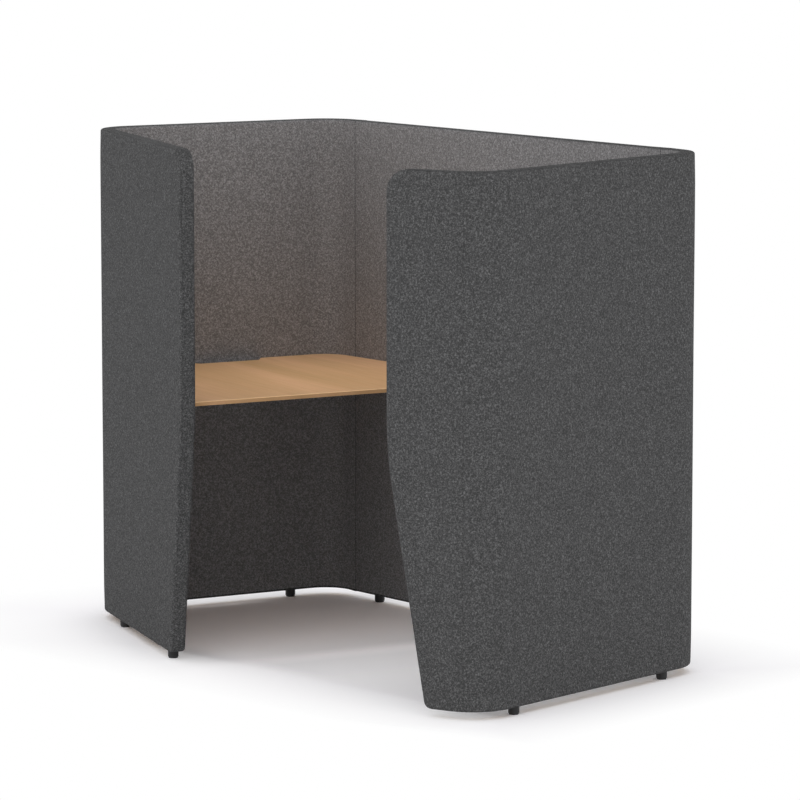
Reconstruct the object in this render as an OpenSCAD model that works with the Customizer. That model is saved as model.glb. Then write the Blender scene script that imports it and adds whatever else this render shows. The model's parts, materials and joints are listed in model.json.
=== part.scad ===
// High-sided upholstered study carrel: one wrap-around wall of bent panels with a fixed desk.
// The plan is a chain of five walls joined by four equal rounded corners:
// wing, back, side, rear and return. The sitter faces +Y, the open entry is at -X.

/* [Plan] */
// Back wall behind the desk, between its outside corners
back_len = 811; // [640:1:1100]
// Long side wall, between its outside corners
side_len = 1659; // [1400:1:2200]
// Rear wall behind the sitter, between its outside corners
rear_len = 958; // [760:1:1200]
// Wing beside the desk, outside corner to its upper free edge
wing_len = 910; // [860:1:1100]
// Return at the rear of the entry, outside corner to its upper free edge
return_len = 300; // [270:1:400]
// Turn of the wall at each corner, in degrees
corner_turn = 80; // [76:1:84]
// Outside radius of each corner
corner_r = 130; // [110:1:150]

/* [Walls] */
// Top of the walls above the floor
wall_top = 1450; // [1250:5:1700]
// Thickness of an upholstered wall
wall_t = 45; // [40:1:56]
// Foam and fabric on each face of the wall
pad_t = 10; // [8:0.5:11]
// Rounding of the padded edges
edge_r = 7; // [4:0.5:7.5]
// Gap between the panel core and its upholstery
core_fit = 0.3; // [0.1:0.1:0.5]
// Straight run past a corner before a panel joint
seam_run = 41; // [30:1:60]
// Width of the joint line between two panels' upholstery
seam_gap = 1; // [0.6:0.1:2]

/* [Free ends] */
// Radius of the upper corner of the wing and the return
end_top_r = 62; // [40:1:100]
// Radius of their lower corner
end_foot_r = 22; // [18:1:30]
// Height at which the free edge starts to lean back
kick_z = 697; // [560:1:700]
// Angle by which its lower part leans back
kick_angle = 10; // [6:0.5:12]
// Radius of the bend between the two parts
kick_r = 1150; // [600:10:1400]

/* [Desk] */
// Height of the desk's surface
desk_z = 740; // [720:1:780]
// Thickness of the desk top
desk_t = 18; // [16:0.5:25]
// Thickness left at its front edge
desk_nose = 12; // [9:0.5:14]
// Run of the bevel under the front edge
nose_run = 45; // [25:1:60]
// Easing of the upper front arris
nose_ease = 1.5; // [0.5:0.5:3]
// Back wall's inner face to the front edge
desk_depth = 798; // [720:1:810]
// Gap between the desk and the walls
desk_gap = 2; // [1:0.5:4]
// Width of the cable notch at half its depth
notch_w = 220; // [120:1:240]
// Depth of the cable notch
notch_d = 40; // [25:1:50]
// Length of each sloping end of the notch
notch_slope = 34; // [20:1:40]

/* [Desk rails] */
// Leg of the steel angle under the desk
rail_leg = 40; // [32:1:50]
// Thickness of the steel angle
rail_t = 3; // [2:0.5:4]
// Heel of the steel angle to the screws in each leg
rail_gauge = 23; // [20:1:26]
// Outside corner to the start of a side rail
rail_from = 175; // [170:1:200]
// Length of a side rail
rail_len = 600; // [480:1:610]
// Outside corner to the start of a back bracket
bracket_from = 152; // [150:1:160]
// Length of a back bracket
bracket_len = 100; // [80:1:104]
// End of a rail to its first screw
screw_end = 20; // [14:1:24]
// Screws in a side rail
rail_screw_count = 4; // [3:1:6]
// Diameter of a wall screw
wall_screw_d = 6; // [5:0.5:7]
// Grip of a wall screw in the panel core
wall_screw_grip = 18; // [12:1:22]
// Diameter of a desk screw
desk_screw_d = 5; // [4:0.5:6]
// Grip of a desk screw in the desk top
desk_screw_grip = 11; // [8:1:12]
// Height of a screw head
screw_head_h = 3; // [2:0.5:4]
// Clearance round a screw
screw_fit = 0.1; // [0.05:0.05:0.3]

/* [Panel joints] */
// Keyhole plates at each panel joint
link_count = 3; // [2:1:4]
// Lowest and highest plate, from the bottom and top of the core
link_inset = 150; // [120:5:220]
// Width of a keyhole plate
link_w = 18; // [17:0.5:19]
// Length of a keyhole plate
link_len = 90; // [80:1:120]
// Thickness of a keyhole plate
link_t = 3; // [2:0.5:4]
// Diameter of a link stud
link_stud_d = 6; // [5:0.5:6]
// Grip of a link stud in its panel core
link_grip = 30; // [20:1:40]
// Length of the lock plate under a panel joint
lock_len = 70; // [66:1:80]
// Width of the lock plate
lock_w = 18; // [15:1:20]
// Thickness of the lock plate
lock_t = 3; // [2:0.5:4]
// Diameter of a lock screw
lock_screw_d = 4; // [3.5:0.5:5]
// Grip of a lock screw in the panel core
lock_grip = 25; // [15:1:35]

/* [Feet] */
// Diameter of a foot
foot_d = 30; // [26:1:36]
// Walls' lower edge above the floor
foot_h = 22; // [20:1:30]
// Thickness of the glide under a foot
glide_t = 3; // [2:0.5:4]
// Diameter of the threaded stud
stud_d = 10; // [8:0.5:12]
// Grip of the stud in its insert
stud_grip = 32; // [24:1:40]
// Running clearance of the foot on its stud and glide
run_fit = 0.05; // [0.03:0.01:0.08]
// Outside corner to the nearest foot of the wing and the side wall
foot_side_in = 239; // [225:1:260]
// Wing's upper free edge to its outer foot
foot_wing_in = 166; // [160:1:190]
// Outside corner to the feet of the back wall
foot_back_in = 172; // [140:1:200]
// Side wall's outside corner to the rear wall's first foot
foot_rear_in = 166; // [140:1:200]
// Return's outside corner to the rear wall's last foot
foot_return_in = 153; // [140:1:200]

/* [Hidden] */
$fn = 64;

FABRIC = [0.30, 0.30, 0.31];
BEECH = [0.76, 0.59, 0.44];
PLYWOOD = [0.80, 0.69, 0.52];
STEEL = [0.62, 0.63, 0.65];
BLACK = [0.07, 0.07, 0.075];
DARK_GREY = [0.16, 0.16, 0.165];

// Names of the five walls in the order in which the plan is walked, clockwise seen from above
WING = 0;
BACK = 1;
SIDE = 2;
REAR = 3;
RETURN = 4;

function dir(a) = [cos(a), sin(a)];
function arc(c, r, from, to, n) = [for (i = [0:n]) c + r * dir(from + (to - from) * i / n)];

// Flat steps in a bend and in a rounded edge
bend_steps = 20;
edge_steps = 5;
wall_bottom = foot_h;
core_t = wall_t - 2 * pad_t;
core_top = wall_top - pad_t;
core_face_out = -pad_t;
core_face_in = -wall_t + pad_t;
corner_cut = corner_r * tan(corner_turn / 2);
wall_len = [wing_len, back_len, side_len, rear_len, return_len];
heading = [corner_turn, 0, -corner_turn, -2 * corner_turn, -3 * corner_turn];
side_from = [back_len, 0];
rear_from = side_from + side_len * dir(heading[SIDE]);
return_from = rear_from + rear_len * dir(heading[REAR]);
wall_from = [-wing_len * dir(heading[WING]), [0, 0], side_from, rear_from, return_from];

// A point of the plan, x along wall w and y to its outside
function on_plan(w, x, y) = wall_from[w] + x * dir(heading[w]) + y * dir(heading[w] + 90);
function corner_centre(w) = on_plan(w, wall_len[w] - corner_cut, -corner_r);

// The middle of the floor area that the walls cover
wing_tip_x = wall_from[WING].x + edge_r * (cos(heading[WING]) + sin(heading[WING]) - 1);
return_tip_x = on_plan(RETURN, return_len, 0).x;
plan_min = [min(wing_tip_x, return_tip_x), corner_centre(REAR).y - corner_r];
plan_max = [corner_centre(SIDE).x + corner_r, 0];
plan_mid = (plan_min + plan_max) / 2;

// Sizes of the desk and its fixings
desk_under = desk_z - desk_t;
desk_inset = wall_t + desk_gap;
desk_front = -(wall_t + desk_depth);
rail_screw_z = desk_under - rail_gauge;
wall_screw_len = rail_t + pad_t + wall_screw_grip;

function spread(from, to, n) = [for (i = [0:n - 1]) from + (to - from) * i / (n - 1)];
rail_stations = spread(rail_from + screw_end, rail_from + rail_len - screw_end, rail_screw_count);
bracket_stations = spread(bracket_from + screw_end, bracket_from + bracket_len - screw_end, 2);
// Each screw as its wall and its place along it
RAIL_SCREWS = concat(
    [for (x = rail_stations) [WING, wing_len - x]],
    [for (x = bracket_stations) [BACK, x]],
    [for (x = bracket_stations) [BACK, back_len - x]],
    [for (x = rail_stations) [SIDE, x]]
);

// Sizes of the panel joints; the cores meet with a little play, the plates lie just below flush
joint_play = 0.1;
link_heights = spread(wall_bottom + link_inset, core_top - link_inset, link_count);
seam_from_corner = corner_cut + seam_run;
link_head_d = 2 * link_stud_d;
link_head_h = 2.5;
link_play = 0.4;
link_sunk = 0.2;
link_neck = link_sunk + link_t + link_play;
link_drop = 1.4 * link_head_d;
lock_screw_in = 10;
lock_screw_step = 14;
lock_stations = [for (k = [0, 1]) lock_len / 2 - lock_screw_in - k * lock_screw_step];

// Sizes of the feet
insert_d = 1.5 * stud_d;
insert_flange_d = 2 * stud_d;
insert_flange_t = 2;
foot_round = 2;
glide_d = foot_d - 2 * foot_round;
spigot_d = 0.6 * stud_d;
spigot_h = 2 * glide_t;
foot_floor = spigot_h + 1;
stud_low = foot_floor + 1;
// Each foot as its wall and its place along it
FEET = [
    [WING, foot_wing_in],
    [WING, wing_len - foot_side_in],
    [BACK, foot_back_in],
    [BACK, back_len - foot_back_in],
    [SIDE, foot_side_in],
    [SIDE, side_len - foot_side_in],
    [REAR, foot_rear_in],
    [REAR, rear_len - foot_return_in]
];

// ---- Placing -------------------------------------------------------------------------------

// Children in the frame of wall w: x along it, y = 0 on its outer face, y = -wall_t on its inner
module on_wall(w) {
    translate([wall_from[w].x - plan_mid.x, wall_from[w].y - plan_mid.y, 0])
        rotate(heading[w])
            children();
}

// Children in the plan's own frame
module on_floor_plan() {
    translate([-plan_mid.x, -plan_mid.y, 0])
        children();
}

// A flat profile (x to the outside, y up) run along wall w
module run_along(w, from, to) {
    on_wall(w)
        translate([from, 0, 0])
            rotate([90, 0, 90])
                linear_extrude(to - from)
                    children();
}

// The same profile swept round the corner at the end of wall w
module run_round(w) {
    on_wall(w)
        translate([wall_len[w] - corner_cut, -corner_r, 0])
            rotate(90 - corner_turn)
                rotate_extrude(angle = corner_turn, $fn = 180)
                    translate([corner_r, 0])
                        children();
}

// ---- Wall sections -------------------------------------------------------------------------

// The padded wall, its four long edges rounded
module wall_section() {
    translate([-wall_t, wall_bottom + edge_r])
        square([wall_t, wall_top - wall_bottom - 2 * edge_r]);
    translate([-wall_t + edge_r, wall_bottom])
        square([wall_t - 2 * edge_r, wall_top - wall_bottom]);
    for (x = [-wall_t + edge_r, -edge_r])
        for (y = [wall_bottom + edge_r, wall_top - edge_r])
            translate([x, y])
                circle(edge_r);
}

// Foam and fabric: closed over the top, open below where the core slides in
module cover_section() {
    difference() {
        wall_section();
        translate([core_face_in - core_fit, wall_bottom - 1])
            square([core_t + 2 * core_fit, core_top + core_fit - wall_bottom + 1]);
    }
}

// A solid through equal rings of points, first to last
module skin(rings) {
    n = len(rings[0]);
    last = len(rings) - 1;
    sides = [
        for (k = [0:last - 1])
            for (i = [0:n - 1])
                let (a = k * n + i, b = k * n + (i + 1) % n)
                    each [[a, b, b + n], [a, b + n, a + n]]
    ];
    first_face = [for (i = [n - 1:-1:0]) i];
    last_face = [for (i = [0:n - 1]) last * n + i];
    polyhedron(points = [for (r = rings) each r], faces = concat([first_face], sides, [last_face]));
}

// The padded wall from x on wall w, round the bend at its end, to x on the next wall
module padded_bend(w, from, to) {
    r = edge_r;
    section = concat(
        arc([-r, wall_top - r], r, 0, 90, edge_steps),
        arc([-wall_t + r, wall_top - r], r, 90, 180, edge_steps),
        arc([-wall_t + r, wall_bottom + r], r, 180, 270, edge_steps),
        arc([-r, wall_bottom + r], r, 270, 360, edge_steps)
    );
    function ring(p, out) = [for (q = section) [p.x + q.x * out.x, p.y + q.x * out.y, q.y]];
    out_from = dir(heading[w] + 90);
    out_to = dir(heading[w + 1] + 90);
    turns = [for (i = [0:bend_steps]) heading[w] + 90 - corner_turn * i / bend_steps];
    on_floor_plan()
        skin(concat(
            [ring(on_plan(w, from, 0), out_from)],
            [for (a = turns) ring(corner_centre(w) + corner_r * dir(a), dir(a))],
            [ring(on_plan(w + 1, to, 0), out_to)]
        ));
}

// One face of a board in plan: from x on wall w, round the bends that follow, to x on the last
function face_path(w, bends, from, to, y) = concat(
    [on_plan(w, from, y)],
    [for (c = [w:w + bends - 1])
        each arc(corner_centre(c), corner_r + y, heading[c] + 90, heading[c + 1] + 90, bend_steps)],
    [on_plan(w + bends, to, y)]
);

// A bent board between two heights, its faces at y = out and y = in
module board(w, bends, from, to, out, in, low, high) {
    inner = face_path(w, bends, from, to, in);
    on_floor_plan()
        translate([0, 0, low])
            linear_extrude(high - low)
                polygon(concat(face_path(w, bends, from, to, out),
                               [for (i = [len(inner) - 1:-1:0]) inner[i]]));
}

// Foam and fabric of such a bend
module cover_bend(w, from, to) {
    difference() {
        padded_bend(w, from, to);
        board(w, 1, from - 1, to + 1, core_face_out + core_fit, core_face_in - core_fit,
              wall_bottom - 1, core_top + core_fit);
    }
}

// ---- Free ends -----------------------------------------------------------------------------

// Where the leaning edge, drawn in by d, stands at height z
function lean_x(d, z) = (d + (kick_z - z) * sin(kick_angle)) / cos(kick_angle);
function bend(d) = arc([kick_r, kick_z + kick_r * tan(kick_angle / 2)], kick_r - d,
                       180 + kick_angle, 180, 8);
function top_turn(d) = arc([end_top_r, wall_top - end_top_r], end_top_r - d, 180, 90, 12);

// A free end seen square to the wall, x from its upper edge into the wall, drawn in by d
function end_outline(run, d) = concat(
    [[run, wall_bottom + d]],
    arc([lean_x(end_foot_r, wall_bottom + end_foot_r), wall_bottom + end_foot_r],
        end_foot_r - d, 270, 180 + kick_angle, 6),
    bend(d),
    top_turn(d),
    [[run, wall_top - d]]
);

// The free edge of the core there, drawn in by d, from its foot at height low to its top
function core_edge(d, low) = concat(
    arc([lean_x(d + end_foot_r, low + end_foot_r), low + end_foot_r],
        end_foot_r, 270, 180 + kick_angle, 6),
    bend(d),
    top_turn(d)
);

// The padded free end of a wall: one outline, drawn in round both faces' edges
module padded_end(run) {
    function ring(d, y) = [for (p = end_outline(run, d)) [p.x, y, p.y]];
    turns = [for (i = [0:edge_steps]) 90 * i / edge_steps];
    outer = [for (a = turns) ring(edge_r * (1 - sin(a)), -edge_r * (1 - cos(a)))];
    inner = [for (a = turns) ring(edge_r * (1 - cos(a)), -wall_t + edge_r * (1 - sin(a)))];
    skin(concat(outer, inner));
}

// Foam and fabric of a free end: closed at the edge and over the top, open below
module cover_end(run) {
    d = pad_t - core_fit;
    difference() {
        padded_end(run);
        translate([0, -d, 0])
            rotate([90, 0, 0])
                linear_extrude(wall_t - 2 * d)
                    polygon(concat([[run + 1, wall_bottom - 1]], core_edge(d, wall_bottom - 1),
                                   [[run + 1, wall_top - d]]));
    }
}

// What is cut off a full board to leave the free edge of a core; it crosses both long edges
module core_trim() {
    edge = core_edge(pad_t, wall_bottom);
    last = len(edge) - 1;
    low = wall_bottom - 1;
    high = core_top + core_fit;
    translate([0, 1, 0])
        rotate([90, 0, 0])
            linear_extrude(wall_t + 2)
                polygon(concat(
                    [[-wall_t, low], [edge[0].x, low]],
                    [for (i = [1:last - 1]) edge[i]],
                    [[edge[last].x, high], [-wall_t, high]]
                ));
}

wing_run = wing_len - corner_cut;
return_run = return_len - corner_cut;

// Children drawn from the free edge of the return into the wall
module on_return() {
    on_wall(RETURN)
        translate([return_len, 0, 0])
            mirror([1, 0, 0])
                children();
}

// ---- Holes ---------------------------------------------------------------------------------

// Through the rail on wall w and the padding and into the core, for the rail's screws
module rail_screw_holes(w) {
    for (s = RAIL_SCREWS)
        if (s[0] == w)
            on_wall(w)
                translate([s[1], -wall_t - rail_t - 1, rail_screw_z])
                    rotate([-90, 0, 0])
                        cylinder(h = wall_screw_len + 2, d = wall_screw_d + 2 * screw_fit);
}

// Insert and stud sockets in the lower edges of the cores
module foot_sockets() {
    for (f = FEET)
        on_wall(f[0])
            translate([f[1], -wall_t / 2, 0]) {
                translate([0, 0, wall_bottom - 1])
                    cylinder(h = stud_grip + 3, d = insert_d + 2 * screw_fit);
                translate([0, 0, wall_bottom - 1])
                    cylinder(h = insert_flange_t + 1, d = insert_flange_d + 2 * screw_fit);
            }
}

// Joint faces: the side wall's two ends, x to the side wall and away from its neighbour
module at_joints() {
    on_wall(SIDE)
        translate([seam_from_corner, -wall_t / 2, 0])
            children();
    on_wall(SIDE)
        translate([side_len - seam_from_corner, -wall_t / 2, 0])
            mirror([1, 0, 0])
                children();
}

// Sockets for the link studs, in the cores of the neighbours
module link_sockets() {
    at_joints()
        for (z = link_heights)
            translate([-link_grip - 1, 0, z])
                rotate([0, 90, 0])
                    cylinder(h = link_grip + 2, d = link_stud_d + 2 * screw_fit);
}

// Recesses for the keyhole plates, with room behind them for the stud heads
module link_recesses() {
    at_joints()
        for (z = link_heights) {
            translate([-1, -link_w / 2 - screw_fit, z - link_len / 2 - screw_fit])
                cube([link_sunk + link_t + 1 + screw_fit, link_w + 2 * screw_fit, link_len + 2 * screw_fit]);
            translate([0, -link_head_d / 2 - 0.5, z - link_drop - link_head_d / 2 - 1])
                cube([link_neck + link_head_h + 1, link_head_d + 1, link_drop + link_head_d + 2]);
        }
}

// Flush recess and screw holes for the lock plates in the lower edges of the cores
module lock_recesses() {
    at_joints() {
        translate([-lock_len / 2 - screw_fit, -lock_w / 2 - screw_fit, wall_bottom - 1])
            cube([lock_len + 2 * screw_fit, lock_w + 2 * screw_fit, lock_t + 1]);
        lock_places()
            cylinder(h = wall_bottom + lock_t + lock_grip + 1, d = lock_screw_d + 2 * screw_fit);
    }
}

module lock_places() {
    for (side = [-1, 1])
        for (x = lock_stations)
            translate([side * x, 0, 0])
                children();
}

// ---- Upholstery ----------------------------------------------------------------------------

module wing_cover() {
    color(FABRIC)
        difference() {
            on_wall(WING)
                cover_end(wing_run);
            rail_screw_holes(WING);
        }
}

module wing_corner_cover() {
    color(FABRIC)
        run_round(WING)
            cover_section();
}

module back_cover() {
    color(FABRIC)
        difference() {
            run_along(BACK, corner_cut, back_len - corner_cut)
                cover_section();
            rail_screw_holes(BACK);
        }
}

module back_corner_cover() {
    color(FABRIC)
        cover_bend(BACK, back_len - corner_cut, seam_from_corner - seam_gap / 2);
}

module side_cover() {
    color(FABRIC)
        difference() {
            run_along(SIDE, seam_from_corner + seam_gap / 2, side_len - seam_from_corner - seam_gap / 2)
                cover_section();
            rail_screw_holes(SIDE);
        }
}

module rear_corner_cover() {
    color(FABRIC)
        cover_bend(SIDE, side_len - seam_from_corner + seam_gap / 2, corner_cut);
}

module rear_cover() {
    color(FABRIC)
        run_along(REAR, corner_cut, rear_len - corner_cut)
            cover_section();
}

module return_corner_cover() {
    color(FABRIC)
        run_round(REAR)
            cover_section();
}

module return_cover() {
    color(FABRIC)
        on_return()
            cover_end(return_run);
}

// ---- Panel cores ---------------------------------------------------------------------------

module core_board(w, bends, from, to) {
    board(w, bends, from, to, core_face_out, core_face_in, wall_bottom, core_top);
}

// Bent plywood of the wing, the back and their corners, up to the joint on the side wall
module back_shell_core() {
    color(PLYWOOD)
        difference() {
            core_board(WING, 2, 0, seam_from_corner);
            on_wall(WING)
                core_trim();
            rail_screw_holes(WING);
            rail_screw_holes(BACK);
            foot_sockets();
            link_sockets();
            lock_recesses();
        }
}

// Flat board of the side wall
module side_core() {
    color(PLYWOOD)
        difference() {
            run_along(SIDE, seam_from_corner + joint_play, side_len - seam_from_corner - joint_play)
                translate([core_face_in, wall_bottom])
                    square([core_t, core_top - wall_bottom]);
            rail_screw_holes(SIDE);
            foot_sockets();
            link_recesses();
            lock_recesses();
        }
}

// Bent plywood of the rear wall, the return and their corners
module rear_shell_core() {
    color(PLYWOOD)
        difference() {
            core_board(SIDE, 2, side_len - seam_from_corner, return_len);
            on_return()
                core_trim();
            foot_sockets();
            link_sockets();
            lock_recesses();
        }
}

// ---- Panel joints --------------------------------------------------------------------------

// Plates let into the side board's ends; each stud head enters below and drops into the slot
module keyhole_plates() {
    color(STEEL)
        at_joints()
            for (z = link_heights)
                translate([link_sunk, 0, z])
                    difference() {
                        translate([0, -link_w / 2, -link_len / 2])
                            cube([link_t, link_w, link_len]);
                        translate([-1, 0, -link_drop])
                            rotate([0, 90, 0])
                                cylinder(h = link_t + 2, d = link_head_d + 1);
                        translate([-1, 0, 0])
                            rotate([0, 90, 0])
                                cylinder(h = link_t + 2, d = link_stud_d + 2 * screw_fit);
                        translate([-1, -link_stud_d / 2 - screw_fit, -link_drop])
                            cube([link_t + 2, link_stud_d + 2 * screw_fit, link_drop]);
                    }
}

module link_studs() {
    color(STEEL)
        at_joints()
            for (z = link_heights)
                translate([0, 0, z])
                    rotate([0, 90, 0]) {
                        translate([0, 0, -link_grip])
                            cylinder(h = link_grip + link_neck, d = link_stud_d);
                        translate([0, 0, link_neck])
                            cylinder(h = link_head_h, d = link_head_d);
                    }
}

// Plates across the joints' lower edges, which stop a panel lifting off its studs
module lock_plates() {
    color(STEEL)
        at_joints()
            difference() {
                translate([-lock_len / 2, -lock_w / 2, wall_bottom])
                    cube([lock_len, lock_w, lock_t]);
                lock_places()
                    countersunk(lock_t, screw_fit, 1);
            }
}

module lock_screws() {
    color(STEEL)
        at_joints()
            lock_places()
                countersunk(lock_t + lock_grip, 0, 0);
}

// A countersunk screw pointing up, its head flush with the walls' lower edge; as a cutter it
// has a fit round it and runs over both ends
module countersunk(len, fit, over) {
    translate([0, 0, wall_bottom - over])
        cylinder(h = len + 2 * over, d = lock_screw_d + 2 * fit);
    translate([0, 0, wall_bottom])
        cylinder(h = lock_screw_d / 2, d1 = 2 * (lock_screw_d + fit), d2 = lock_screw_d + 2 * fit);
}

// ---- Desk ----------------------------------------------------------------------------------

function at_y(p, a, y) = p + dir(a) * (y - p.y) / sin(a);
desk_corner_r = corner_r - desk_inset;

module desk_outline() {
    wing_side = on_plan(WING, 0, -desk_inset);
    far_side = on_plan(SIDE, 0, -desk_inset);
    polygon(concat(
        [at_y(wing_side, heading[WING], desk_front)],
        [for (w = [WING, BACK])
            each arc(corner_centre(w), desk_corner_r, heading[w] + 90, heading[w + 1] + 90, bend_steps)],
        [at_y(far_side, heading[SIDE], desk_front)]
    ));
}

// The notch for cables in the back edge, its ends eased in and out
module notch_outline() {
    steps = 8;
    function ease(u) = (1 - cos(180 * u)) / 2;
    half = notch_w / 2;
    slope = [for (i = [0:steps]) [half + notch_slope * (0.5 - i / steps), -notch_d * ease(i / steps)]];
    translate([back_len / 2, -desk_inset])
        polygon(concat(
            [[half + notch_slope / 2, 1]],
            slope,
            [for (i = [steps:-1:0]) [-slope[i].x, slope[i].y]],
            [[-half - notch_slope / 2, 1]]
        ));
}

// Bevel under the front edge and easing over it, in section: x inwards from the edge, y up
module nose_cuts() {
    under = desk_t - desk_nose;
    polygon([[-1, desk_under - 1], [nose_run * (1 + 1 / under), desk_under - 1], [0, desk_under + under],
             [-1, desk_under + under]]);
    polygon([[-1, desk_z + 1], [-1, desk_z - nose_ease - 1], [nose_ease + 1, desk_z + 1]]);
}

module desk_top() {
    color(BEECH)
        difference() {
            on_floor_plan()
                translate([0, 0, desk_under])
                    linear_extrude(desk_t)
                        difference() {
                            desk_outline();
                            notch_outline();
                        }
            on_floor_plan()
                translate([-side_len, desk_front, 0])
                    rotate([90, 0, 90])
                        linear_extrude(2 * side_len + back_len)
                            nose_cuts();
            desk_screw_places()
                cylinder(h = desk_screw_grip + 1, d = desk_screw_d + 2 * screw_fit);
        }
}

// Above each rail screw, on the underside of the desk
module desk_screw_places() {
    for (s = RAIL_SCREWS)
        on_wall(s[0])
            translate([s[1], -wall_t - rail_gauge, desk_under])
                children();
}

// A steel angle on wall w: one leg on the wall, one under the desk
module angle(w, from, to) {
    color(STEEL)
        difference() {
            run_along(w, from, to)
                translate([-wall_t, desk_under])
                    mirror([1, 1]) {
                        square([rail_leg, rail_t]);
                        square([rail_t, rail_leg]);
                    }
            rail_screw_holes(w);
            translate([0, 0, -rail_t - 1])
                desk_screw_places()
                    cylinder(h = rail_t + 2, d = desk_screw_d + 2 * screw_fit);
        }
}

module desk_rail_left() {
    angle(WING, wing_len - rail_from - rail_len, wing_len - rail_from);
}

module desk_rail_right() {
    angle(SIDE, rail_from, rail_from + rail_len);
}

module desk_bracket_left() {
    angle(BACK, bracket_from, bracket_from + bracket_len);
}

module desk_bracket_right() {
    angle(BACK, back_len - bracket_from - bracket_len, back_len - bracket_from);
}

// A round-headed screw along +Z, the underside of its head at z = 0
module screw(d, grip) {
    translate([0, 0, -screw_head_h])
        cylinder(h = screw_head_h, d1 = 1.4 * d, d2 = 2 * d);
    cylinder(h = grip, d = d);
}

module rail_screws() {
    color(STEEL)
        for (s = RAIL_SCREWS)
            on_wall(s[0])
                translate([s[1], -wall_t - rail_t, rail_screw_z])
                    rotate([-90, 0, 0])
                        screw(wall_screw_d, wall_screw_len);
}

module desk_screws() {
    color(STEEL)
        translate([0, 0, -rail_t])
            desk_screw_places()
                screw(desk_screw_d, rail_t + desk_screw_grip);
}

// ---- Feet ----------------------------------------------------------------------------------

// Sleeves pressed into the cores, which carry the studs
module foot_inserts() {
    color(STEEL)
        for (f = FEET)
            on_wall(f[0])
                translate([f[1], -wall_t / 2, wall_bottom])
                    difference() {
                        union() {
                            cylinder(h = stud_grip, d = insert_d);
                            cylinder(h = insert_flange_t, d = insert_flange_d);
                        }
                        translate([0, 0, -1])
                            cylinder(h = stud_grip + 2, d = stud_d + 2 * run_fit);
                    }
}

// Studs that stand out below the walls, for the feet to turn on
module foot_studs() {
    color(STEEL)
        for (f = FEET)
            on_wall(f[0])
                translate([f[1], -wall_t / 2, stud_low])
                    cylinder(h = wall_bottom + stud_grip - stud_low, d = stud_d);
}

// A foot: a black cylinder with a blind bore for its stud and a socket for its glide
module foot(i) {
    f = FEET[i - 1];
    color(BLACK)
        on_wall(f[0])
            translate([f[1], -wall_t / 2, 0])
                difference() {
                    rotate_extrude() {
                        translate([0, glide_t])
                            square([foot_d / 2 - foot_round, foot_h - glide_t]);
                        translate([0, glide_t + foot_round])
                            square([foot_d / 2, foot_h - glide_t - foot_round]);
                        translate([foot_d / 2 - foot_round, glide_t + foot_round])
                            circle(foot_round);
                    }
                    translate([0, 0, foot_floor])
                        cylinder(h = foot_h, d = stud_d + 2 * run_fit);
                    translate([0, 0, -1])
                        cylinder(h = spigot_h + 1 + run_fit, d = spigot_d + 2 * run_fit);
                }
}

// The glide under a foot: it stays still on the floor while the foot turns on its spigot
module foot_glide(i) {
    f = FEET[i - 1];
    color(DARK_GREY)
        on_wall(f[0])
            translate([f[1], -wall_t / 2, 0]) {
                cylinder(h = glide_t - run_fit, d = glide_d);
                cylinder(h = spigot_h, d = spigot_d);
            }
}

wing_cover();
wing_corner_cover();
back_cover();
back_corner_cover();
side_cover();
rear_corner_cover();
rear_cover();
return_corner_cover();
return_cover();
back_shell_core();
side_core();
rear_shell_core();
keyhole_plates();
link_studs();
lock_plates();
lock_screws();
desk_top();
desk_rail_left();
desk_rail_right();
desk_bracket_left();
desk_bracket_right();
rail_screws();
desk_screws();
foot_inserts();
foot_studs();
foot(1);  // foot_1
foot(2);  // foot_2
foot(3);  // foot_3
foot(4);  // foot_4
foot(5);  // foot_5
foot(6);  // foot_6
foot(7);  // foot_7
foot(8);  // foot_8
foot_glide(1);  // foot_glide_1
foot_glide(2);  // foot_glide_2
foot_glide(3);  // foot_glide_3
foot_glide(4);  // foot_glide_4
foot_glide(5);  // foot_glide_5
foot_glide(6);  // foot_glide_6
foot_glide(7);  // foot_glide_7
foot_glide(8);  // foot_glide_8
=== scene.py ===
import json
from math import cos, degrees, exp, pi, radians, sin, tan

import bmesh
import bpy
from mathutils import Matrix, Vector, noise


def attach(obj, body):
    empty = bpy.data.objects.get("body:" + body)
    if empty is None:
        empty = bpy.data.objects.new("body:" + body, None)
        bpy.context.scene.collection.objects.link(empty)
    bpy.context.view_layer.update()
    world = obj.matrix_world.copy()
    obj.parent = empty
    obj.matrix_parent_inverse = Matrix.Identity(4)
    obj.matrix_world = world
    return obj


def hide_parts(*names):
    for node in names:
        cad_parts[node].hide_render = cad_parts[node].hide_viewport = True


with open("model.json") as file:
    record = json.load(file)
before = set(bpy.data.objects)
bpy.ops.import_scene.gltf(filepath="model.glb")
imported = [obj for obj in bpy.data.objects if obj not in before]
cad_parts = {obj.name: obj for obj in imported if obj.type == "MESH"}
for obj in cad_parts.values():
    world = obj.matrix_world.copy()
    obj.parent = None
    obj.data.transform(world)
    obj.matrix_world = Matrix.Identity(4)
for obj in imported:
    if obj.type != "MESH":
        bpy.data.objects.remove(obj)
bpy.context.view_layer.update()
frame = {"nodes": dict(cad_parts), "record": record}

BOOTH = "booth"

# ---- The walls' plan and sizes, as in the part's source ------------------------------------

TURN = radians(80)
BACK_LEN = 0.811
SIDE_LEN = 1.659
REAR_LEN = 0.958
WING_LEN = 0.910
RETURN_LEN = 0.300
CORNER_R = 0.130
WALL_TOP = 1.450
WALL_BOTTOM = 0.022
WALL_T = 0.045
PAD_T = 0.010
EDGE_R = 0.007
CORE_FIT = 0.0003
SEAM_RUN = 0.041
SEAM_GAP = 0.0004

# The leaning free ends
END_TOP_R = 0.062
END_FOOT_R = 0.022
KICK_Z = 0.697
KICK = radians(10)
KICK_R = 1.150

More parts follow.
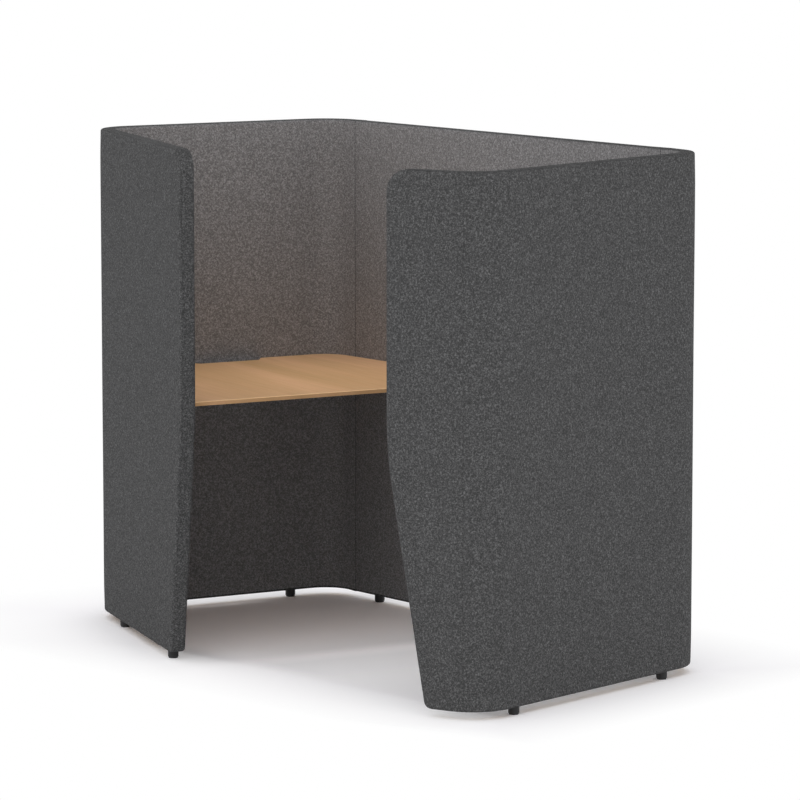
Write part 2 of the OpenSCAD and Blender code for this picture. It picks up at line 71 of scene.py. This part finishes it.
# What the fabric adds: rounding at a panel joint, a sewn groove, and the foam's crown
SEAM_R = 0.001
GROOVE_W = 0.0012
GROOVE_DEPTH = 0.0005
SEWN_DEPTH = 0.0012
CROWN = 0.0014
CROWN_RUN = 0.09
WAVE = 0.0005
SEWN_ANGLE = radians(61)

CUT = CORNER_R * tan(TURN / 2)
HEADING = [TURN, 0, -TURN, -2 * TURN, -3 * TURN]
WALL_LEN = [WING_LEN, BACK_LEN, SIDE_LEN, REAR_LEN, RETURN_LEN]


def direction(a):
    return Vector((cos(a), sin(a)))


def wall_starts():
    """The outside corner at which each wall starts; the wing starts at its free edge."""
    starts = [-WING_LEN * direction(TURN), Vector((0, 0))]
    for w in (1, 2, 3):
        starts.append(starts[-1] + WALL_LEN[w] * direction(HEADING[w]))
    return starts


STARTS = wall_starts()


def on_plan(w, x, y):
    return STARTS[w] + x * direction(HEADING[w]) + y * direction(HEADING[w] + pi / 2)


def corner_centre(w):
    return on_plan(w, WALL_LEN[w] - CUT, -CORNER_R)


def plan_middle():
    """The middle of the walls' footprint, which is the origin of the part."""
    wing_tip = STARTS[0].x + EDGE_R * (cos(TURN) + sin(TURN) - 1)
    low = Vector((min(wing_tip, on_plan(4, RETURN_LEN, 0).x), corner_centre(3).y - CORNER_R))
    high = Vector((corner_centre(2).x + CORNER_R, 0))
    return (low + high) / 2


MIDDLE = plan_middle()
BEND_LEN = CORNER_R * TURN
STRAIGHT = [WING_LEN - CUT] + [n - 2 * CUT for n in WALL_LEN[1:4]] + [RETURN_LEN - CUT]
# Where each straight stretch starts along the outer face, measured from the wing's free edge
RUN_FROM = [sum(STRAIGHT[:w]) + w * BEND_LEN for w in range(5)]
RUN_ALL = RUN_FROM[4] + STRAIGHT[4]
BACK_SEAM = RUN_FROM[2] + SEAM_RUN
REAR_SEAM = RUN_FROM[3] - BEND_LEN - SEAM_RUN


def on_walls(run, y, z):
    """A point at run along the outer face, y to the outside of it, z above the floor."""
    w = max(k for k in range(5) if run >= RUN_FROM[k] or k == 0)
    over = run - RUN_FROM[w] - STRAIGHT[w]
    if over > 0 and w < 4:
        p = corner_centre(w) + (CORNER_R + y) * direction(HEADING[w] + pi / 2 - over / CORNER_R)
    else:
        x = run - RUN_FROM[w] + (CUT if w else 0)
        p = on_plan(w, x, y)
    return Vector((p.x - MIDDLE.x, p.y - MIDDLE.y, z))


# ---- Padded panels --------------------------------------------------------------------------

# How finely a panel is divided: steps along each straight stretch and each bend, columns between a
# free edge and the first shared column, the place of that column, and steps in half an edge's rounding
STRETCH_STEPS = 24
EDGE_COLUMNS = 8
FIRST_COLUMN = 0.2
HALF_STEPS = 6
SEAM_ROWS = 60
# How far the even columns keep from a sewn seam, which has its own
MARK_CLEAR = 0.008
# How far the hollow for a core is cut past the panel's open sides
HOLLOW_OVER = 0.004


def spread(a, b, n):
    """n + 1 values from a to b, evenly spaced."""
    return [a + (b - a) * i / n for i in range(n + 1)]


def arc(cx, cz, r, a, b, n):
    """Points on a circle from angle a to angle b, in degrees."""
    return [(cx + r * cos(t), cz + r * sin(t)) for t in spread(radians(a), radians(b), n)]


def free_edge(inset, low, foot_inset):
    """A leaning free edge seen square to the wall, drawn in by inset, from its foot to its top."""
    foot_x = (inset - foot_inset + END_FOOT_R + (KICK_Z - low - END_FOOT_R) * sin(KICK)) / cos(KICK)
    foot = arc(foot_x, low + END_FOOT_R, END_FOOT_R - foot_inset, 270, 180 + degrees(KICK), 6)
    bend = arc(KICK_R, KICK_Z + KICK_R * tan(KICK / 2), KICK_R - inset, 180 + degrees(KICK), 180, 8)
    top = arc(END_TOP_R, WALL_TOP - END_TOP_R, END_TOP_R - inset, 180, 90, 14)
    points = list(foot)
    for line_end, n in ((bend, 22), (top, 24)):
        (x0, z0), (x1, z1) = points[-1], line_end[0]
        points += [(x0 + (x1 - x0) * i / n, z0 + (z1 - z0) * i / n) for i in range(1, n)]
        points += line_end
    return points


def seam_edge(low, high):
    """An upright edge at a panel joint, from foot to top."""
    return [(0.0, z) for z in spread(low, high, SEAM_ROWS)]


def stations(far, marks):
    """Places along a panel, close together in the bends and at the marks, up to far."""
    found = set()
    for w in range(5):
        found.update(round(RUN_FROM[w] + t, 6) for t in spread(0, STRAIGHT[w], STRETCH_STEPS))
        if w < 4:
            bend_from = RUN_FROM[w] + STRAIGHT[w]
            found.update(round(bend_from + t, 6) for t in spread(0, BEND_LEN, STRETCH_STEPS))
    found = {t for t in found if all(abs(t - m) > MARK_CLEAR for m in marks)}
    for m in marks:
        found.update(m + k * GROOVE_W for k in (-4, -2, -1, 0, 1, 2, 4))
    return sorted(t for t in found if t <= far)


def panel_runs(origin, flip, length, marks, to_end):
    """The shared columns of a panel that starts at origin and runs back along the walls if flip."""
    runs = (abs(origin - t) for t in stations(RUN_ALL, marks) if (origin > t) == flip)
    return sorted(u for u in runs if FIRST_COLUMN < u < length - to_end)


def panel_place(origin, flip, u, y, z):
    """A panel's own point, u from its left edge, in its place on the walls."""
    return on_walls(origin - u if flip else origin + u, y, z)


def relief(run, z, near, sewn):
    """How far the padded face stands out: crowned between its edges, drawn in at a sewn seam."""
    t = min(1.0, max(0.0, near / CROWN_RUN))
    out = CROWN * t * t * (3 - 2 * t)
    out += WAVE * t * noise.noise(Vector((run * 2.3, z * 2.3, 4.1)))
    for s in sewn:
        out -= SEWN_DEPTH * exp(-(((run - s) / GROOVE_W) ** 2))
    return out


def panel_skin(bm, start, end, flip, free, sewn):
    """A closed padded panel from its left edge at u = 0 to the joint at u = end - start."""
    origin = end if flip else start
    length = end - start
    runs = panel_runs(origin, flip, length, sewn, 0.02)
    if free:
        rows = free_edge(EDGE_R, WALL_BOTTOM, EDGE_R)
    else:
        rows = seam_edge(WALL_BOTTOM + EDGE_R, WALL_TOP - EDGE_R)
    n_rows = len(rows)

    def place(u, y, z):
        return bm.verts.new(panel_place(origin, flip, u, y, z))

    def left(j, share):
        """Row j's end at the left edge, for a ring drawn in by a share of the rounding."""
        if free:
            return edges[share][j]
        ends = {0: WALL_BOTTOM + EDGE_R * share, n_rows - 1: WALL_TOP - EDGE_R * share}
        return (SEAM_R * share, ends.get(j, rows[j][1]))

    def cols(j):
        return spread(left(j, 1.0)[0], runs[0], EDGE_COLUMNS)[:-1] + runs + [length - SEAM_R]

    # Each ring round the edge: how far it is drawn in, how deep it lies, and on which half
    groove = GROOVE_DEPTH / EDGE_R
    ring_plan = [(1 - sin(a), 1 - cos(a), False) for a in spread(0, pi / 2, HALF_STEPS)]
    ring_plan += [(groove, 1 + 0.5 * GROOVE_W / EDGE_R, False), (0.0, 1 + GROOVE_W / EDGE_R, False)]
    ring_plan += [(s, y, True) for s, y, _ in reversed(ring_plan)]
    edges = {s: free_edge(EDGE_R * s, WALL_BOTTOM, EDGE_R * s) for s, _, _ in ring_plan} if free else {}

    def ring(share, depth, inner):
        """One closed loop of points round the panel's edge."""
        def y_of(r):
            return -WALL_T + r * depth if inner else -r * depth
        loop = []
        bottom, top = cols(0), cols(n_rows - 1)
        right = length - SEAM_R * share
        left_r = EDGE_R if free else SEAM_R
        for u in bottom[:-1]:
            loop.append((u if u > bottom[0] else left(0, share)[0], WALL_BOTTOM + EDGE_R * share, EDGE_R))
        loop.append((right, WALL_BOTTOM + EDGE_R * share, SEAM_R))
        loop += [(right, rows[j][1], SEAM_R) for j in range(1, n_rows - 1)]
        loop.append((right, WALL_TOP - EDGE_R * share, SEAM_R))
        for u in reversed(top[:-1]):
            loop.append((u if u > top[0] else left(n_rows - 1, share)[0], WALL_TOP - EDGE_R * share, EDGE_R))
        loop += [(*left(j, share), left_r) for j in range(n_rows - 2, 0, -1)]
        return [place(u, y_of(r), z) for u, z, r in loop]

    rings = [ring(*plan) for plan in ring_plan]
    # The lining goes over most of the inner edge along the top
    top_from = len(cols(0)) + n_rows - 2
    top_to = top_from + len(cols(n_rows - 1)) - 1
    lined_from = len(rings) + 1 - HALF_STEPS
    for j, (a, b) in enumerate(zip(rings, rings[1:])):
        for i in range(len(a)):
            k = (i + 1) % len(a)
            quad = bm.faces.new((a[i], a[k], b[k], b[i]))
            quad.material_index = 1 if j >= lined_from and top_from <= i < top_to else 0
    for inner in (False, True):
        grid = []
        for j in range(n_rows):
            line = []
            z = rows[j][1]
            us = cols(j)
            for i, u in enumerate(us):
                near = min(u - us[0], length - u, WALL_TOP - z, z - WALL_BOTTOM)
                edge_point = j in (0, n_rows - 1) or i in (0, len(us) - 1)
                run = origin - u if flip else origin + u
                out = 0.0 if edge_point else relief(run, z, near, [] if inner else sewn)
                line.append(place(u, -WALL_T - out if inner else out, z))
            grid.append(line)
        for j in range(n_rows - 1):
            for i in range(len(grid[j]) - 1):
                quad = (grid[j][i], grid[j][i + 1], grid[j + 1][i + 1], grid[j + 1][i])
                bm.faces.new(quad).material_index = 1 if inner else 0
    bmesh.ops.remove_doubles(bm, verts=bm.verts, dist=1e-6)
    bmesh.ops.recalc_face_normals(bm, faces=bm.faces)


def panel_hollow(bm, start, end, flip, free):
    """The room inside a panel for its core: open below and at the joints."""
    inset = PAD_T - CORE_FIT
    length = end - start + HOLLOW_OVER
    origin = end if flip else start
    runs = panel_runs(origin, flip, length, [], 0.01)
    top_z, low_z = WALL_TOP - inset, WALL_BOTTOM - HOLLOW_OVER
    edge = free_edge(inset, low_z, 0) if free else [(-HOLLOW_OVER, low_z), (-HOLLOW_OVER, top_z)]
    outline = list(edge) + [(u, top_z) for u in runs] + [(length, top_z), (length, low_z)]
    outline += [(u, low_z) for u in reversed(runs)]
    # Strips between the lower and the upper line, station by station
    n_edge = len(edge)
    sides = []
    for y in (-inset, -WALL_T + inset):
        sides.append([bm.verts.new(panel_place(origin, flip, u, y, z)) for u, z in outline])
    count = len(outline)
    for i in range(count):
        k = (i + 1) % count
        bm.faces.new((sides[0][i], sides[0][k], sides[1][k], sides[1][i]))
    for v in sides:
        bm.faces.new([*v[:n_edge], v[n_edge], v[-1]])
        for i in range(len(runs)):
            upper, lower = n_edge + i, count - 1 - i
            bm.faces.new((v[upper], v[upper + 1], v[lower - 1], v[lower]))
    bmesh.ops.recalc_face_normals(bm, faces=bm.faces)


def make_object(name, fill, *materials):
    """A new object whose mesh is filled in by fill."""
    mesh = bpy.data.meshes.new(name)
    bm = bmesh.new()
    fill(bm)
    bm.to_mesh(mesh)
    bm.free()
    obj = bpy.data.objects.new(name, mesh)
    bpy.context.scene.collection.objects.link(obj)
    for material in materials:
        mesh.materials.append(material)
    return obj


def subtract(obj, tool):
    """Cuts tool out of obj for good, and takes tool away."""
    cut = obj.modifiers.new("cut", "BOOLEAN")
    cut.operation = "DIFFERENCE"
    cut.solver = "EXACT"
    cut.object = tool
    bpy.context.view_layer.update()
    shaped = bpy.data.meshes.new_from_object(obj.evaluated_get(bpy.context.evaluated_depsgraph_get()))
    obj.modifiers.clear()
    obj.data = shaped
    bpy.data.objects.remove(tool)


def smooth(obj, sharp_from=35):
    """Smooth shading, with edges kept where faces meet at more than sharp_from degrees."""
    bm = bmesh.new()
    bm.from_mesh(obj.data)
    for f in bm.faces:
        f.smooth = True
    for e in bm.edges:
        e.smooth = len(e.link_faces) == 2 and degrees(e.calc_face_angle(0)) < sharp_from
    bm.to_mesh(obj.data)
    bm.free()


# ---- Materials ------------------------------------------------------------------------------


class Surface:
    """A node material with one shader, built up node by node."""

    def __init__(self, name, color, roughness, **constants):
        self.material = bpy.data.materials.new(name)
        self.material.use_nodes = True
        self.tree = self.material.node_tree
        self.shader = self.tree.nodes["Principled BSDF"]
        self.shader.inputs["Base Color"].default_value = (*color, 1)
        self.shader.inputs["Roughness"].default_value = roughness
        for socket, value in constants.items():
            self.shader.inputs[socket.replace("_", " ")].default_value = value
        self.place = self.add("ShaderNodeTexCoord").outputs["Object"]

    def add(self, kind, inputs=None, **settings):
        node = self.tree.nodes.new(kind)
        for key, value in settings.items():
            setattr(node, key, value)
        for key, value in (inputs or {}).items():
            if isinstance(value, bpy.types.NodeSocket):
                self.tree.links.new(value, node.inputs[key])
            else:
                node.inputs[key].default_value = value
        return node

    def noise(self, scale, detail=2.0, roughness=0.5, distortion=0.0, at=None):
        node = self.add("ShaderNodeTexNoise", {"Vector": at or self.place, "Scale": scale, "Detail": detail,
                                               "Roughness": roughness, "Distortion": distortion})
        return node.outputs["Fac"]

    def stretch(self, scale):
        """The place, scaled, so that a noise with scale 1 comes out stretched."""
        return self.add("ShaderNodeMapping", {"Vector": self.place, "Scale": scale}).outputs["Vector"]

    def upward(self):
        """How far up a face looks, from -1 to 1."""
        normal = self.add("ShaderNodeNewGeometry").outputs["Normal"]
        return self.add("ShaderNodeSeparateXYZ", {0: normal}).outputs["Z"]

    def math(self, operation, a, b=0.0, clamp=False):
        return self.add("ShaderNodeMath", {0: a, 1: b}, operation=operation, use_clamp=clamp).outputs[0]

    def between(self, value, low, high, to_low=0.0, to_high=1.0):
        """The value's place between low and high, mapped to to_low and to_high, and kept within them."""
        node = self.add("ShaderNodeMapRange", {"Value": value, "From Min": low, "From Max": high,
                                               "To Min": to_low, "To Max": to_high}, clamp=True)
        return node.outputs["Result"]

    def ramp(self, value, stops):
        node = self.add("ShaderNodeValToRGB", {"Fac": value})
        ends = node.color_ramp.elements
        while len(ends) < len(stops):
            ends.new(0.5)
        for end, (at, color) in zip(ends, stops):
            end.position = at
            end.color = (*color, 1)
        return node.outputs["Color"]

    def mix(self, share, a, b, blend="MIX"):
        node = self.add("ShaderNodeMix", data_type="RGBA", blend_type=blend)
        for key, value in ((0, share), (6, a), (7, b)):
            if isinstance(value, bpy.types.NodeSocket):
                self.tree.links.new(value, node.inputs[key])
            else:
                node.inputs[key].default_value = value
        return node.outputs[2]

    def color(self, socket):
        self.tree.links.new(socket, self.shader.inputs["Base Color"])

    def rough(self, socket):
        self.tree.links.new(socket, self.shader.inputs["Roughness"])

    def bump(self, height, distance, strength=1.0):
        node = self.add("ShaderNodeBump", {"Height": height, "Distance": distance, "Strength": strength})
        self.tree.links.new(node.outputs["Normal"], self.shader.inputs["Normal"])


def felt(name, ground, fleck, sparse, tilt, upward):
    """Wool melange: a dark ground, short pale curled fibres, fewer of them the higher sparse is, and
    a fine nap. Upward is how much of the tone is left on a face that looks up, which is painted
    shade, and tilt is how far up a face looks when that starts."""
    s = Surface(name, ground, 0.95, Specular_IOR_Level=0.04)
    curls = s.noise(230, 2.0, 0.55, 0.9)
    fine = s.noise(600, 2.0, 0.6, 0.4)
    cloud = s.noise(9, 3.0, 0.55)
    pale = s.math("ADD", s.math("MULTIPLY", s.between(curls, sparse, sparse + 0.26), 0.8),
                  s.math("MULTIPLY", s.between(fine, 0.45, 0.7), 0.3), clamp=True)
    shade = s.between(cloud, 0.3, 0.7, 0.0, 0.04)
    tone = s.mix(pale, (*ground, 1), (*fleck, 1))
    clouded = s.mix(shade, tone, (*ground, 1))
    # Painted shade: a face that looks up gets a darker tone, down to upward of it
    s.color(s.mix(1.0, clouded, s.between(s.upward(), tilt, 0.9, 1.0, upward), "MULTIPLY"))
    s.bump(s.math("ADD", curls, s.math("MULTIPLY", fine, 0.6)), 0.0006, 0.5)
    return s.material


def beech():
    """Lacquered beech veneer, its grain along Y, with short dark flecks and a paler upper arris, which is a
    painted highlight.
    """
    s = Surface("beech_veneer", (0.52, 0.30, 0.165), 0.42, Specular_IOR_Level=0.35, Coat_Weight=0.08,
                Coat_Roughness=0.3)
    broad = s.noise(1.0, 3.0, 0.55, 0.4, s.stretch((7.0, 0.6, 7.0)))
    fibre = s.noise(1.0, 4.0, 0.6, 0.2, s.stretch((260.0, 6.0, 260.0)))
    dash = s.noise(1.0, 1.0, 0.5, 0.0, s.stretch((900.0, 70.0, 900.0)))
    tone = s.ramp(broad, [(0.28, (0.545, 0.325, 0.15)), (0.5, (0.65, 0.385, 0.195)),
                          (0.72, (0.765, 0.445, 0.255))])
    streaked = s.mix(s.between(fibre, 0.35, 0.7, 0.0, 0.30), tone, (0.49, 0.265, 0.12, 1))
    flecked = s.mix(s.between(dash, 0.66, 0.75, 0.0, 0.35), streaked, (0.35, 0.18, 0.08, 1))
    # The worn, paler upper arris
    # Painted highlight: faces that look partly up, as on the rounded upper arris, are paler
    up = s.upward()
    painted_arris_highlight = s.math("MULTIPLY", s.between(up, 0.2, 0.4), s.between(up, 0.97, 0.9))
    s.color(s.mix(painted_arris_highlight, flecked, (0.80, 0.52, 0.27, 1)))
    s.rough(s.between(fibre, 0.3, 0.7, 0.38, 0.5))
    s.bump(fibre, 0.00015, 0.4)
    return s.material


def plywood():
    """Raw birch plywood, its face grain upright and its layers showing."""
    s = Surface("birch_plywood", (0.62, 0.47, 0.29), 0.7)
    grain = s.noise(1.0, 4.0, 0.6, 0.3, s.stretch((90.0, 90.0, 5.0)))
    layers = s.noise(1.0, 2.0, 0.5, 0.0, s.stretch((700.0, 700.0, 20.0)))
    tone = s.ramp(grain, [(0.3, (0.52, 0.38, 0.22)), (0.7, (0.68, 0.53, 0.34))])
    s.color(s.mix(s.between(layers, 0.45, 0.6, 0.0, 0.35), tone, (0.36, 0.24, 0.13, 1)))
    s.bump(grain, 0.0003, 0.5)
    return s.material


def zinc():
    """Zinc-plated steel: pale, softly clouded and faintly brushed."""
    s = Surface("zinc_plated_steel", (0.60, 0.61, 0.63), 0.35, Metallic=1.0)
    cloud = s.noise(60, 3.0, 0.6)
    brush = s.noise(1.0, 2.0, 0.6, 0.0, s.stretch((1500.0, 1500.0, 60.0)))
    s.color(s.ramp(cloud, [(0.3, (0.52, 0.53, 0.55)), (0.7, (0.66, 0.67, 0.69))]))
    s.rough(s.between(brush, 0.3, 0.7, 0.28, 0.45))
    s.bump(brush, 0.00005, 0.5)
    return s.material


def moulded(name, color, roughness):
    """Moulded plastic with a fine spark-eroded grain and light scuffs."""
    s = Surface(name, color, roughness, Specular_IOR_Level=0.4)
    grain = s.noise(2600, 2.0, 0.5)
    scuff = s.noise(1.0, 3.0, 0.6, 0.8, s.stretch((260.0, 260.0, 60.0)))
    lighter = [min(1.0, 2.2 * c + 0.01) for c in color]
    s.color(s.mix(s.between(scuff, 0.62, 0.8, 0.0, 0.35), (*color, 1), (*lighter, 1)))
    s.rough(s.between(scuff, 0.4, 0.75, roughness, roughness + 0.15))
    s.bump(grain, 0.0001, 0.5)
    return s.material


# The last number of each felt is its painted shade on faces that look up
OUTER_FELT = felt("dark_grey_melange_wool", (0.048, 0.048, 0.0485), (0.197, 0.197, 0.2), 0.45, 0.4, 0.7)
INNER_FELT = felt("light_grey_melange_wool", (0.143, 0.140, 0.142), (0.41, 0.401, 0.408), 0.42, 0.05, 0.5)
MATERIALS = {
    "plywood": plywood(),
    "beech": beech(),
    "steel": zinc(),
    "foot_plastic": moulded("black_moulded_plastic", (0.018, 0.018, 0.019), 0.5),
    "glide_nylon": moulded("dark_nylon", (0.035, 0.035, 0.036), 0.6),
}

for part in frame["record"]["subparts"]:
    if part["material_slot"] in MATERIALS:
        mesh = frame["nodes"][part["node"]].data
        mesh.materials.clear()
        mesh.materials.append(MATERIALS[part["material_slot"]])

# ---- Upholstery -----------------------------------------------------------------------------

WING_SEWN = STRAIGHT[0] + BEND_LEN - SEWN_ANGLE * CORNER_R
RETURN_SEWN = RUN_FROM[4] - BEND_LEN + SEWN_ANGLE * CORNER_R


def upholster(name, start, end, flip, free, sewn, nodes):
    """One fabric-covered panel in place of the nodes that it stands for."""
    cover = make_object(name, lambda bm: panel_skin(bm, start, end, flip, free, sewn), OUTER_FELT, INNER_FELT)
    hollow = make_object(name + "_hollow", lambda bm: panel_hollow(bm, start, end, flip, free))
    subtract(cover, hollow)
    smooth(cover)
    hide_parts(*nodes)
    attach(cover, BOOTH)


upholster("back_shell_upholstery", 0.0, BACK_SEAM - SEAM_GAP / 2, False, True, [WING_SEWN],
          ["wing_cover", "wing_corner_cover", "back_cover", "back_corner_cover"])
upholster("side_panel_upholstery", BACK_SEAM + SEAM_GAP / 2, REAR_SEAM - SEAM_GAP / 2, False, False, [],
          ["side_cover"])
upholster("rear_shell_upholstery", REAR_SEAM + SEAM_GAP / 2, RUN_ALL, True, True, [RETURN_SEWN],
          ["rear_corner_cover", "rear_cover", "return_corner_cover", "return_cover"])

# ---- Floor, light and camera ----------------------------------------------------------------

FLOOR_R = 14.0
# The floor's colour for the light that it spreads, and as it is seen, also in gloss and glass: outside
# the walls, and inside them by its place along Y from INSIDE_FROM, in the entry, to INSIDE_TO
FLOOR_COLOR = (0.82, 0.82, 0.825)
FLOOR_OUTSIDE = (1.06, 1.045, 1.075)
INSIDE_FROM = -0.3
INSIDE_TO = 0.4
# Inside the walls the floor as seen has painted light and shade: darker just in front of the desk's front
# edge and brighter under the desk, where the desk's shadow falls, which lifts that shadow and softens its
# edge
FLOOR_INSIDE_PAINTED_LIGHT = [(0.0, (1.04, 1.03, 1.05)), (0.4, (0.89, 0.88, 0.9)), (0.55, (1.0, 0.97, 0.99)),
                (0.66, (1.29, 1.26, 1.28)), (0.92, (1.42, 1.36, 1.37))]
# The fade to plain white, as distance to the outside of the walls' plan, how much faster it runs
# beyond each wall and the entry, and how far inside the entry it starts
FADE_FROM = -0.03
FADE_TO = 0.45
FADE_PACE = [0.9, 1.0, 1.0, 1.6, 2.7, 1.3]
ENTRY_IN = 0.16


def plan_sides():
    """Each wall and the entry as its outward direction, its distance from the origin and its pace."""
    sides = []
    for w in range(5):
        out = direction(HEADING[w] + pi / 2)
        sides.append((out, out.dot(STARTS[w] - MIDDLE), FADE_PACE[w]))
    tip = on_plan(4, RETURN_LEN, 0)
    along = (STARTS[0] - tip).normalized()
    out = Vector((-along.y, along.x))
    sides.append((out, out.dot(tip - MIDDLE) - ENTRY_IN, FADE_PACE[5]))
    return sides


def floor_material():
    """White floor that keeps the shadows at the object and fades to plain white away from it."""
    s = Surface("studio_floor", FLOOR_COLOR, 0.9, Specular_IOR_Level=0.0)
    outside = -1.0
    for out, reach, pace in plan_sides():
        along = (pace * out.x, pace * out.y, 0)
        dot = s.add("ShaderNodeVectorMath", {0: s.place, 1: along}, operation="DOT_PRODUCT")
        outside = s.math("MAXIMUM", s.math("SUBTRACT", dot.outputs["Value"], pace * reach), outside)
    away = s.ramp(s.between(outside, FADE_FROM, FADE_TO),
                  [(0.0, (0, 0, 0)), (0.1, (0.19, 0.19, 0.19)), (1.0, (1, 1, 1))])
    path = s.add("ShaderNodeLightPath").outputs
    seen = s.math("MAXIMUM", path["Is Glossy Ray"], path["Is Transmission Ray"])
    seen = s.math("MAXIMUM", seen, path["Is Camera Ray"])
    white = s.add("ShaderNodeEmission", {"Color": (1, 1, 1, 1), "Strength": 1.0}).outputs[0]
    both = s.add("ShaderNodeMixShader", {0: s.math("MULTIPLY", away, seen), 1: s.shader.outputs[0], 2: white})
    grain = s.noise(40, 3.0, 0.5)
    s.rough(s.between(grain, 0.3, 0.7, 0.85, 0.95))
    y = s.add("ShaderNodeSeparateXYZ", {0: s.place}).outputs["Y"]
    # Painted light and shade on the floor as seen inside the walls, along Y, that lifts the desk's shadow
    inside = s.ramp(s.between(y, INSIDE_FROM, INSIDE_TO), FLOOR_INSIDE_PAINTED_LIGHT)
    shown = s.mix(s.between(outside, 0.0, -0.1), (*FLOOR_OUTSIDE, 1), inside)
    s.color(s.mix(seen, (*FLOOR_COLOR, 1), shown))
    s.tree.links.new(both.outputs[0], s.tree.nodes["Material Output"].inputs["Surface"])
    return s.material


def floor_disc(bm):
    bmesh.ops.create_circle(bm, cap_ends=True, segments=96, radius=FLOOR_R)


floor = make_object("studio_floor", floor_disc, floor_material())

scene = bpy.context.scene
scene.view_settings.view_transform = "Standard"

WORLD_LIGHT = 1.0
world = bpy.data.worlds.new("studio_world")
world.use_nodes = True
scene.world = world
backdrop = world.node_tree.nodes["Background"]
backdrop.inputs["Color"].default_value = (1, 1, 1, 1)
backdrop.inputs["Strength"].default_value = WORLD_LIGHT


def softbox(name, size, power, spread_angle, place, aim, color):
    """A soft square lamp at place that shines towards aim, its light kept within spread_angle."""
    data = bpy.data.lights.new(name, "AREA")
    data.shape = "SQUARE"
    data.size = size
    data.energy = power
    data.spread = radians(spread_angle)
    data.color = color
    obj = bpy.data.objects.new(name, data)
    obj.location = place
    obj.rotation_mode = "QUATERNION"
    obj.rotation_quaternion = (Vector(aim) - Vector(place)).to_track_quat("-Z", "Y")
    scene.collection.objects.link(obj)


softbox("desk_softbox", size=0.9, power=1.35, spread_angle=20, place=(0.0, 0.46, 5.2), aim=(0.0, 0.44, 0.74),
        color=(1.0, 0.99, 0.975))

# The photograph's viewpoint: azimuth from +Y towards +X, pitch below the horizon
CAMERA_AT = Vector((-6.1657, -11.2273, 2.451))
CAMERA_AZIMUTH = radians(28.9162)
CAMERA_PITCH = radians(7.676)
camera_data = bpy.data.cameras.new("photo_camera")
camera_data.sensor_width = 36.0
camera_data.lens = 206.0
camera_data.clip_end = 200
camera = bpy.data.objects.new("photo_camera", camera_data)
ahead = Vector((sin(CAMERA_AZIMUTH) * cos(CAMERA_PITCH), cos(CAMERA_AZIMUTH) * cos(CAMERA_PITCH),
                -sin(CAMERA_PITCH)))
camera.location = CAMERA_AT
camera.rotation_mode = "QUATERNION"
camera.rotation_quaternion = ahead.to_track_quat("-Z", "Y")
scene.collection.objects.link(camera)
scene.camera = camera
